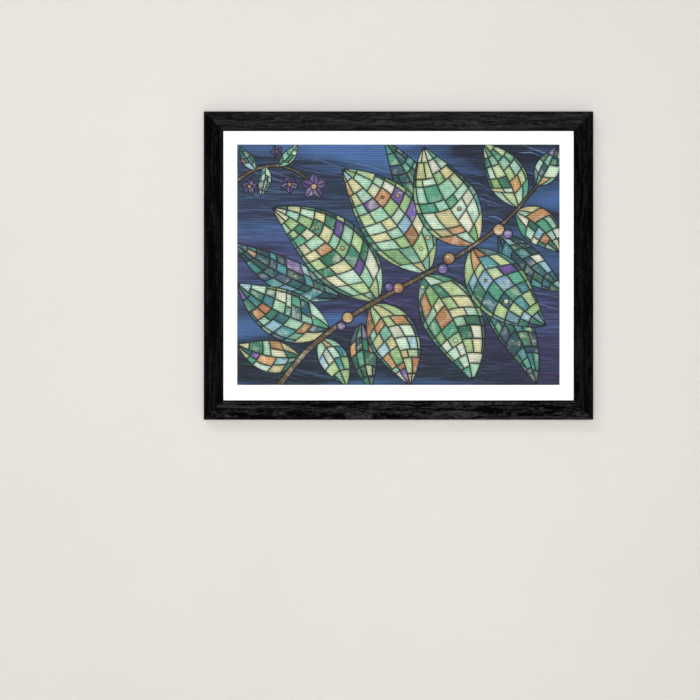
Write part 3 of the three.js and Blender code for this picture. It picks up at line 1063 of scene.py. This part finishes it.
class Leaf:
    """A pointed leaf on a bowed midrib."""

    def __init__(self, root, tip, bow, half):
        self.root, self.tip, self.half = root, tip, half
        self.length = (tip - root).length
        self.belly = (root + tip) / 2 + square_to(tip - root) * bow

    def width(self, run):
        """Half the leaf's width at a share of its length. It is widest at 0.42."""
        return self.half * math.sin(math.pi * min(max(run, 0), 1) ** 0.8) ** 0.85

    def at(self, run, side):
        """The place at a share of the length, and at a share of the half width to one side."""
        run = min(max(run, 0), 1)
        rib = (1 - run) ** 2 * self.root + 2 * run * (1 - run) * self.belly + run * run * self.tip
        heading = (1 - run) * (self.belly - self.root) + run * (self.tip - self.belly)
        return rib + square_to(heading).normalized() * self.width(run) * side

    def outline(self, steps=32, start=0.0):
        """The leaf's edge, from a share of its length on."""
        shares = [(1 - start) * i / steps for i in range(steps + 1)]
        there = [self.at(start + share, -1) for share in shares]
        back = [self.at(1 - share, 1) for share in shares[1:]]
        return there + (back if start else back[:-1])

    def pane(self, side, runs, rows, lead, slant=0.17, steps=6):
        """The outline of the pane between two slanted veins and two rows, half a lead in from each.

        A pane of which too little is left gives None.
        """

        def vein(run, row, shift):
            """Where a vein is along the leaf at a row: it leans to the tip, but hardly near either end."""
            return run + slant * row**1.4 * min(1, 5 * run) * (1 - run) + shift * lead / 2 / self.length

        shares = [i / steps for i in range(steps + 1)]
        outwards = [rows[0] + (rows[1] - rows[0]) * share for share in shares]
        up = [(vein(runs[0], row, 1), row) for row in outwards]
        down = [(vein(runs[1], row, -1), row) for row in reversed(outwards)]
        over = [(up[-1][0] + (down[0][0] - up[-1][0]) * share, rows[1]) for share in shares[1:-1]]
        under = [(down[-1][0] + (up[0][0] - down[-1][0]) * share, rows[0]) for share in shares[1:-1]]
        ring = []
        for run, row in up + over + down + under:
            inset = lead / 2 / max(self.width(run), lead / 10)
            low, high = rows[0] + inset, rows[1] - inset * (2 if rows[1] == 1 else 1)
            if high <= low:
                continue
            place_at = self.at(run, side * min(max(row, low), high))
            if not ring or min((place_at - ring[-1]).length, (place_at - ring[0]).length) > 0.3 * MM:
                ring.append(place_at)
        return ring if len(ring) > 4 and abs(area(ring)) > LEAST_AREA else None


class Picture:
    """The flat shapes of the print, each an outline with an ink, from the back to the front."""

    PAPER, DUSK, GLASS, LEAD = range(4)

    def __init__(self, settings):
        self.settings = settings
        self.chance = random.Random(settings.seed)
        self.shapes = []

    def add(self, kind, outline, rgb=(0, 0, 0), cover=0.0):
        """Lays a shape over those before it, turned anticlockwise. cover is how much of its ink shows."""
        outline = outline if area(outline) > 0 else outline[::-1]
        self.shapes.append((kind, outline, (*rgb, cover)))

    def ink(self, name):
        """One of the shades of an ink."""
        return linear(self.chance.choice(INKS[name]))

    def glass(self, outline, name):
        """A pane in one of the shades of an ink."""
        self.add(self.GLASS, outline, self.ink(name), 1)

    def round_glass(self, centre, outer, radius, name, steps=24):
        """A round pane in a rim of lead."""
        self.add(self.LEAD, round_of(centre, outer, steps))
        self.glass(round_of(centre, radius, steps), name)

    def brush_strokes(self):
        """Long thin strokes that drift down to the right."""
        chance = self.chance.uniform
        for _ in range(self.settings.strokes):
            x, z = chance(-STROKES_ACROSS, STROKES_ACROSS), chance(-STROKES_UP, STROKES_UP)
            reach, thick, wave = chance(30, 130), chance(0.5, 1.8), chance(0, 6)
            x = max(reach / 2 - STROKES_END, min(STROKES_END - reach / 2, x))
            height, wisp_from, mist_from = z + 0.3 * x, 20, -130
            name = "wisp" if height > wisp_from else ("mist" if height > mist_from else "water")
            line = [
                spot(x + reach * (u - 0.5), z - FALL * reach * (u - 0.5) + 2.5 * math.sin(u * 5 + wave))
                for u in (i / 10 for i in range(11))
            ]
            outline = ribbon(line, lambda u: (thick * math.sin(math.pi * u) + 0.05) * MM)
            self.add(self.DUSK, outline, self.ink(name), chance(0.35, 0.8))

    def leaf(self, root, tip, bow, half, names):
        """A leaf of panes in lead. The small leaves of the twig have finer panes."""
        leaf = Leaf(spot(*root), spot(*tip), bow, half * MM)
        small = half < 20
        lead = self.settings.lead * (0.75 if small else 1)
        panes = max(4, round(leaf.length / (self.settings.pane * (0.55 if small else 1))))
        self.add(self.LEAD, leaf.outline())
        for side in (1, -1):
            veins = self.veins(panes)
            for i, runs in enumerate(zip(veins, veins[1:])):
                rows = self.rows(leaf.width(sum(runs) / 2))
                for row, pair in enumerate(zip(rows, rows[1:])):
                    name = names[(i + row + (side < 0)) % len(names)]
                    rgb = self.pane_ink(name, at_edge=pair[0] == BORDER)
                    ring = leaf.pane(side, runs, pair, lead)
                    if ring:
                        self.add(self.GLASS, ring, rgb, 1)
                        if area(ring) > JEWEL_AREA and self.chance.random() < JEWEL_SHARE:
                            self.jewel(centre_of(ring))

    def veins(self, panes):
        """Where the veins leave a midrib, as shares of its length, unevenly but for the first and last."""
        first, span = 0.015, 0.955
        shifts = [self.chance.uniform(-0.3, 0.3) * (0 < i < panes) for i in range(panes + 1)]
        return [first + span * (i + shift) / panes for i, shift in enumerate(shifts)]

    def rows(self, wide):
        """Where a half leaf is split from its midrib to its edge, as shares of its width."""
        divide = self.chance.uniform(0.4, 0.62)
        narrow, broad, whole_share = 11 * MM, 34 * MM, 0.2
        if wide > broad:
            return [0, divide - 0.08, BORDER, 1]
        if wide < narrow or self.chance.random() >= 1 - whole_share:
            return [0, 1]
        return [0, divide, 1]

    def pane_ink(self, name, at_edge):
        """The ink of a pane, which chance may change from its leaf's."""
        if at_edge:
            name = self.chance.choice(EDGE_INKS)
        elif self.chance.random() < STRAY_SHARE:
            name = self.chance.choice(STRAY_INKS)
        return self.ink(name)

    def jewel(self, centre):
        """A small round pane inside another."""
        radius = self.chance.uniform(2.6, 4.2) * MM
        name = self.chance.choice(("amber", "cream"))
        self.round_glass(centre, radius + 0.5 * self.settings.lead, radius, name, 16)

    def stem(self, marks, thick, thin):
        """A stem that tapers, with its lead on both sides."""
        line = eased(marks)
        lead = self.settings.lead
        self.add(self.LEAD, ribbon(line, lambda u: thick + (thin - thick) * u + lead))
        self.glass(ribbon(line, lambda u: thick + (thin - thick) * u), "bark")

    def berry(self, middle_at, radius, name):
        """A round berry with a glint."""
        centre = spot(*middle_at)
        self.round_glass(centre, radius * MM + self.settings.lead, radius * MM, name)
        glint = centre + radius * MM * Vector((-0.28, 0.3))
        self.glass(round_of(glint, 0.3 * radius * MM, 12), "cream" if name == "amber" else "ice")

    def blossom(self, middle_at, reach, turn):
        """Five violet petals round an amber eye."""
        centre, lead = spot(*middle_at), self.settings.lead
        for i in range(5):
            heading = turn + 2 * math.pi * i / 5
            tip = centre + reach * MM * Vector((math.cos(heading), math.sin(heading)))
            petal = Leaf(centre, tip, 0.0, 0.36 * reach * MM)
            self.add(self.LEAD, petal.outline(20, 0.1))
            for side in (1, -1):
                ring = petal.pane(side, (0.16, 0.93), (0, 1), 0.8 * lead, slant=0)
                if ring:
                    self.glass(ring, "violet")
        eye = 0.24 * reach * MM
        self.round_glass(centre, eye, eye - 0.6 * lead, "amber")

    def draw(self):
        """Lays down all the shapes."""
        self.brush_strokes()
        self.stem(TWIG, 2.4 * MM, 1.0 * MM)
        for leaf in LEAVES:
            self.leaf(*leaf)
        self.stem(BRANCH, 4.6 * MM, 1.6 * MM)
        for berry in BERRIES:
            self.berry(*berry)
        for blossom in BLOSSOMS:
            self.blossom(*blossom)

    def divided(self, sheet, printed_part):
        """All outlines as the flat triangles of the sheet, with the shape on top of each triangle."""
        grounds = ((self.PAPER, sheet), (self.DUSK, printed_part))
        self.shapes = [(kind, block(*size), (0, 0, 0, 0)) for kind, size in grounds] + self.shapes
        points, edges = [], []
        for kind, outline, _ in self.shapes:
            loops = [outline]
            if kind == self.GLASS:
                centre = centre_of(outline)
                loops += [[centre + ring * (p - centre) for p in outline] for ring in RINGS]
            for loop in loops:
                first = len(points)
                points += loop
                edges += [(first + i, first + (i + 1) % len(loop)) for i in range(len(loop))]
        whole_hull, merge_within = 0, 0.001 * MM
        corners_at, _, triangles, *_ = delaunay_2d_cdt(points, edges, [], whole_hull, merge_within, False)
        corners_at = np.array([tuple(corner) for corner in corners_at])
        triangles = np.array([tuple(triangle) for triangle in triangles])
        middles = corners_at[triangles].mean(axis=1)
        top = np.zeros(len(triangles), int)
        for number, (_, outline, _) in enumerate(self.shapes):
            top[inside(middles, outline)] = number
        top[np.any(np.abs(middles) > np.array(printed_part) / 2, axis=1)] = 0
        kept = np.all(np.abs(middles) < np.array(sheet) / 2, axis=1)
        used, renumbered = np.unique(triangles[kept], return_inverse=True)
        return corners_at[used], renumbered.reshape(-1, 3), top[kept]


def inside(places, outline):
    """Which places lie inside an outline, by counting the edges to their left."""
    ring = np.array([tuple(p) for p in outline])
    near = np.flatnonzero(np.all((places > ring.min(axis=0)) & (places < ring.max(axis=0)), axis=1))
    x, z = places[near].T
    odd = np.zeros(len(near), bool)
    for (ax, az), (bx, bz) in zip(ring, np.roll(ring, -1, axis=0)):
        if az != bz:
            odd ^= ((az > z) != (bz > z)) & (ax + (z - az) / (bz - az) * (bx - ax) < x)
    return near[odd]


def from_edge(places, outline):
    """How far each place is from an outline."""
    ring = np.array([tuple(p) for p in outline])
    nearest = np.full(len(places), np.inf)
    for start, end in zip(ring, np.roll(ring, -1, axis=0)):
        along = end - start
        part = np.clip((places - start) @ along / max(along @ along, 1e-12), 0, 1)
        nearest = np.minimum(nearest, np.linalg.norm(places - start - part[:, None] * along, axis=1))
    return nearest


def printed(tree, settings, rgb, tone):
    """Printed paper of a colour: with fine level lines, a painted glare of grey over the inks and a faint
    tooth.
    """
    height = split(tree, own_place(tree))["Z"]
    turns = calc(tree, "MULTIPLY", height, 2 * math.pi / settings.line_pitch)
    lines = rescale(tree, calc(tree, "SINE", turns), -1, 1, 1 - settings.line_depth, 1)
    inked = tinted(tree, rgb, joined(tree, lines, lines, lines))
    inked = put(tree, "HueSaturation", {"Color": inked, "Saturation": settings.strength, "Value": tone})
    # Painted glare: grey mixed over the inks in place of light reflected off the sheet.
    glared = mix(tree, settings.veil, inked, settings.veil_tone)
    return surface(tree, glared, 0.6, (noise(tree, 700, 2, 0.5), 0.03 * MM, 0.4), gloss=0.2)


@look
def dusk_ink(tree, settings):
    """Blue dusk over violet mist over dark water, in long slanting strokes."""
    turn = (0, -math.atan(FALL), 0)
    broad = noise(tree, 1, 5, 0.55, 0.6, at=place(tree, (3, 3, 26), turn))
    fine = noise(tree, 1, 4, 0.6, 0.8, at=place(tree, (14, 14, 210), turn))
    patches = noise(tree, 1, 4, 0.55, 0.5, at=place(tree, (2.2, 2.2, 13), turn, (5, 0, 3)))
    height = calc(tree, "ADD", split(tree, place(tree, turn=turn))["Z"], swing(tree, broad, 0.11))
    level = rescale(tree, height, -0.25, 0.25)
    base, gleam = (ramp(tree, level, [(at, linear(code)) for at, code in sky]) for sky in (DUSK, GLEAM))
    base = laid(tree, base, linear("0c76cc"), patches, 0.5, 0.68, 0.85)
    base = laid(tree, base, gleam, fine, 0.5, 0.78, 0.7)
    base = laid(tree, base, linear("0a1022"), fine, 0.46, 0.26, 0.6)
    cover, stroke = (put(tree, "Attribute", out=part, attribute_name="ink") for part in ("Alpha", "Color"))
    return printed(tree, settings, mix(tree, cover, base, stroke), settings.dusk_tone)


@look
def glass_ink(tree, settings):
    """Panes of streaky glass, dark along their leads."""
    tint = put(tree, "Attribute", out="Color", attribute_name="ink")
    shifted = put(tree, "VectorMath", {0: own_place(tree), 1: tint}, operation="ADD")

    def streaky(base, over, limits, *kind):
        """A colour laid over in streaks. limits are laid's last three values, and kind is the noise's."""
        return laid(tree, base, over, noise(tree, *kind, at=shifted), *limits)

    base = streaky(tint, tinted(tree, tint, (1.0, 0.82, 0.34)), (0.5, 0.7, 0.55), 48, 3, 0.6, 0.8)
    base = streaky(base, tinted(tree, tint, (0.3, 0.72, 0.95)), (0.5, 0.7, 0.55), 41, 3, 0.6, 0.8)
    base = streaky(base, linear("f4f3d6"), (0.5, 0.72, 0.6), 30, 5, 0.6, 2.2)
    base = streaky(base, tinted(tree, tint, (0.22, 0.4, 0.4)), (0.5, 0.25, 0.6), 17, 2, 0.5, 0.5)
    base = streaky(base, tinted(tree, base, (0.42, 0.5, 0.48)), (0.5, 0.3, 0.6), 190, 3, 0.6)
    base = streaky(base, linear("f2dc8a"), (0.68, 0.76, 0.5), 320, 2, 0.5)
    depth = put(tree, "Attribute", out="Fac", attribute_name="depth")
    rim = rescale(tree, depth, 0, 3.6 * MM, 0.5, 0)
    base = mix(tree, rim, base, tinted(tree, tint, (0.12, 0.2, 0.2)))
    return printed(tree, settings, base, settings.glass_tone)


@look
def lead_ink(tree, settings):
    """The dark lines between panes, with a worn brown gleam here and there."""
    base = laid(tree, settings.lead_ink, linear("3a3328"), noise(tree, 55, 4), 0.5, 0.8, 0.5)
    return printed(tree, settings, base, settings.dusk_tone)


@look
def bare_paper(tree):
    """The unprinted edge and back of the sheet."""
    return toothed(tree, linear("f3f1ea"), linear("e9e6dc"), 500, 0.8, 0.2)


def half_window():
    """Half the width and half the height of the mat's opening, from the mat's inner corners."""
    low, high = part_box("window_mat")
    x, z = middle("window_mat").x, middle("art_print").z
    spots = [vert.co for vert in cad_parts["window_mat"].data.vertices]
    inner = [co for co in spots if min(co.x - low.x, high.x - co.x) > MM]
    return min(abs(co.x - x) for co in inner), min(abs(co.z - z) for co in inner)


def sheet_mesh(low, high, corners_at, triangles):
    """A thin sheet between two corners of a box, with its front face in triangles."""
    centre = (low + high) / 2
    front = [(centre.x + x, low.y, centre.z + z) for x, z in corners_at]
    outline = block(high.x - low.x, high.z - low.z)
    ends = [int(np.argmin(np.linalg.norm(corners_at - tuple(end), axis=1))) for end in outline]
    back = [(front[end][0], high.y, front[end][2]) for end in ends]
    first = len(front)
    rims = [(ends[i], first + i, first + (i + 1) % 4, ends[(i + 1) % 4]) for i in range(4)]
    mesh = bpy.data.meshes.new("printed_sheet")
    faces = [*triangles.tolist(), *rims, (first + 3, first + 2, first + 1, first)]
    mesh.from_pydata(front + back, [], faces)
    return mesh


def ink_faces(mesh, shapes, top, places):
    """Gives each front face the material and ink of its shape, and each corner its depth in its pane."""
    plain = len(mesh.polygons) - len(top)
    kinds, _, inks = zip(*(shapes[number] for number in top))
    mesh.polygons.foreach_set("material_index", [*kinds, *[Picture.PAPER] * plain])
    values = [value for ink in inks for value in ink] + [0.0] * 4 * plain
    mesh.attributes.new("ink", "FLOAT_COLOR", "FACE").data.foreach_set("color", values)
    depths = np.zeros(len(mesh.loops))
    for number in np.unique(top):
        kind, outline, _ = shapes[number]
        if kind == Picture.GLASS:
            mine = np.flatnonzero(top == number)
            spots = from_edge(places[mine].reshape(-1, 2), outline)
            depths[(3 * mine[:, None] + np.arange(3)).ravel()] = spots
    mesh.attributes.new("depth", "FLOAT", "CORNER").data.foreach_set("value", depths)


def lay_out(mesh, low, high):
    """A UV map on which the printed face has most of the square, and the back and rims a strip."""
    uv_map = mesh.uv_layers.new(name="OFBake")
    centre, width = (low + high) / 2, high.x - low.x
    front_size, front_middle = 0.98, 0.39
    strip_size, strip_middle, rim_size = 0.2, 0.88, 10
    for face in mesh.polygons:
        for loop in face.loop_indices:
            place_at = mesh.vertices[mesh.loops[loop].vertex_index].co - centre
            v = front_middle + front_size * place_at.z / width
            if face.normal.y > -0.5:
                v = strip_middle + strip_size * place_at.z / width + rim_size * place_at.y
            uv_map.uv[loop].vector = (0.5 + front_size * place_at.x / width, v)


class PICTURE_OT_print(bpy.types.Operator):
    """Make the printed sheet, one flat mesh whose faces are the shapes of the picture"""

    bl_idname = "picture.print"
    bl_label = "Printed Sheet"

    def execute(self, context):
        settings = context.scene.picture_print
        low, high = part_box("art_print")
        opening = [2 * (half + settings.bleed) for half in half_window()]
        picture = Picture(settings)
        picture.draw()
        corners_at, triangles, top = picture.divided((high.x - low.x, high.z - low.z), opening)
        mesh = sheet_mesh(low, high, corners_at, triangles)
        ink_faces(mesh, picture.shapes, top, corners_at[triangles])
        lay_out(mesh, low, high)
        mesh.update()
        inks = [make(settings) for make in (dusk_ink, glass_ink, lead_ink)]
        dress(added("printed_sheet", mesh), "print_paper", bare_paper(), *inks, node="art_print")
        return {"FINISHED"}


# ---- Stage ----

# Width of the wall and of the floor, and how far the wall stands behind the backs of the wall pads.
WALL_SIZE, FLOOR_SIZE, WALL_GAP = 9, 16, 0.2 * MM
# Turns a level plane, or a camera that looks down, to face along Y.
UPRIGHT = (math.radians(90), 0, 0)
# Width of the camera's sensor, in millimetres.
SENSOR = 36


@look
def painted(tree, rgb, see_through_back=False):
    """Flat wall paint with a faint roller texture."""
    base = laid(tree, rgb, scaled(rgb, 0.97), noise(tree, 1.5, rough=0.5), 0.3, 0.7)
    roller = noise(tree, 260, rough=0.55)
    paint = surface(tree, base, 0.9, (roller, 0.1 * MM, 0.25), gloss=0.1)
    if see_through_back:
        behind = put(tree, "NewGeometry", out="Backfacing")
        return put(tree, "MixShader", {0: behind, 1: paint, 2: put(tree, "BsdfTransparent")})
    return paint


def lamp(name, place_at, aim, size, watts):
    """A large soft area lamp."""
    light = bpy.data.lights.new(name, "AREA")
    light.shape = "RECTANGLE"
    light.size, light.size_y = size
    light.energy = watts
    holder = added(name, light)
    holder.location = place_at
    holder.rotation_euler = (Vector(aim) - Vector(place_at)).to_track_quat("-Z", "Y").to_euler()
    holder.visible_camera = False
    return holder


def ring_of_strips(settings, eye):
    """Four strips just outside what the glass mirrors to the camera, so that none shows in it."""
    low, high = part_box("glazing")
    thick = settings.strip
    left, right = (2 * x - eye.x for x in (low.x, high.x))
    bottom, top = (2 * z - eye.z for z in (low.z, high.z))
    across, up = (left + right) / 2, (bottom + top) / 2
    wide, tall = right - left + 2 * thick, top - bottom
    for name, x, z, size in (
        ("strip_left", left - thick / 2, up, (thick, tall)),
        ("strip_right", right + thick / 2, up, (thick, tall)),
        ("strip_bottom", across, bottom - thick / 2, (wide, thick)),
        ("strip_top", across, top + thick / 2, (wide, thick)),
    ):
        lamp(name, (x, eye.y, z), (x, 0, z), size, settings.ring / 4)


class PICTURE_OT_stage(bpy.types.Operator):
    """Set up the wall, the floor, the lamps and the camera"""

    bl_idname = "picture.stage"
    bl_label = "Stage"

    def execute(self, context):
        settings = context.scene.picture_studio
        add = bpy.ops.mesh.primitive_plane_add
        at = (0, WALL_GAP, WALL_SIZE / 2 - settings.drop)
        wall = started(add, "wall", size=WALL_SIZE, location=at, rotation=UPRIGHT)
        wall.data.materials.append(painted(settings.wall, True, name="wall_paint"))
        for ray in ("shadow", "diffuse", "glossy", "transmission"):
            setattr(wall, f"visible_{ray}", False)
        floor = started(add, "floor", size=FLOOR_SIZE, location=(0, 0, -settings.drop))
        floor.data.materials.append(painted(settings.floor, name="floor_paint"))

        world = bpy.data.worlds.new("studio")
        context.scene.world = world
        world.use_nodes = True
        sky = world.node_tree.nodes["Background"].inputs
        sky["Color"].default_value = (0.96, 0.975, 1, 1)
        sky["Strength"].default_value = settings.ambient
        world.cycles_visibility.glossy = False

        eye = Vector((settings.aim_x, CAD_LOW.y - settings.distance, settings.aim_z))
        lamp("front", eye, (eye.x, 0, eye.z), (1.0, 1.0), settings.front).visible_glossy = False
        ring_of_strips(settings, eye)
        lamp("key", (-1.7, -3.0, 2.4), (0, 0, 0), (1.6, 1.2), settings.key)
        lamp("behind", (0.8, 3.2, 2.2), (0, 0, 0), (2.4, 2.0), settings.behind)

        camera = bpy.data.cameras.new("camera")
        camera.sensor_width = SENSOR
        camera.lens = SENSOR * settings.distance / settings.field
        holder = added("camera", camera)
        holder.location = eye
        holder.rotation_euler = UPRIGHT
        context.scene.camera = holder
        context.scene.view_settings.view_transform = "Standard"
        return {"FINISHED"}


class PICTURE_PT_panel(bpy.types.Panel):
    """The picture's settings and steps."""

    bl_label = "Framed Picture"
    bl_space_type = "VIEW_3D"
    bl_region_type = "UI"
    bl_category = "Picture"

    def draw(self, context):
        for name, group in GROUPS.items():
            box = self.layout.box()
            for key in group.__annotations__:
                box.prop(getattr(context.scene, name), key)
        for operator in OPERATORS:
            self.layout.operator(operator.bl_idname)


OPERATORS = (
    PICTURE_OT_moulding,
    PICTURE_OT_boards,
    PICTURE_OT_print,
    PICTURE_OT_buttons,
    PICTURE_OT_hangers,
    PICTURE_OT_pads,
    PICTURE_OT_stage,
)


def register():
    """Registers the classes and adds the settings to the scene."""
    for group in (*GROUPS.values(), *OPERATORS, PICTURE_PT_panel):
        bpy.utils.register_class(group)
    for name, group in GROUPS.items():
        setattr(bpy.types.Scene, name, bpy.props.PointerProperty(type=group))


def unregister():
    """Takes the settings and the classes away again."""
    for name in GROUPS:
        delattr(bpy.types.Scene, name)
    for group in (PICTURE_PT_panel, *reversed(OPERATORS), *reversed(GROUPS.values())):
        bpy.utils.unregister_class(group)


def main():
    """Builds the whole picture."""
    register()
    for operator in OPERATORS:
        family, name = operator.bl_idname.split(".")
        getattr(getattr(bpy.ops, family), name)()


if __name__ == "__main__":
    main()
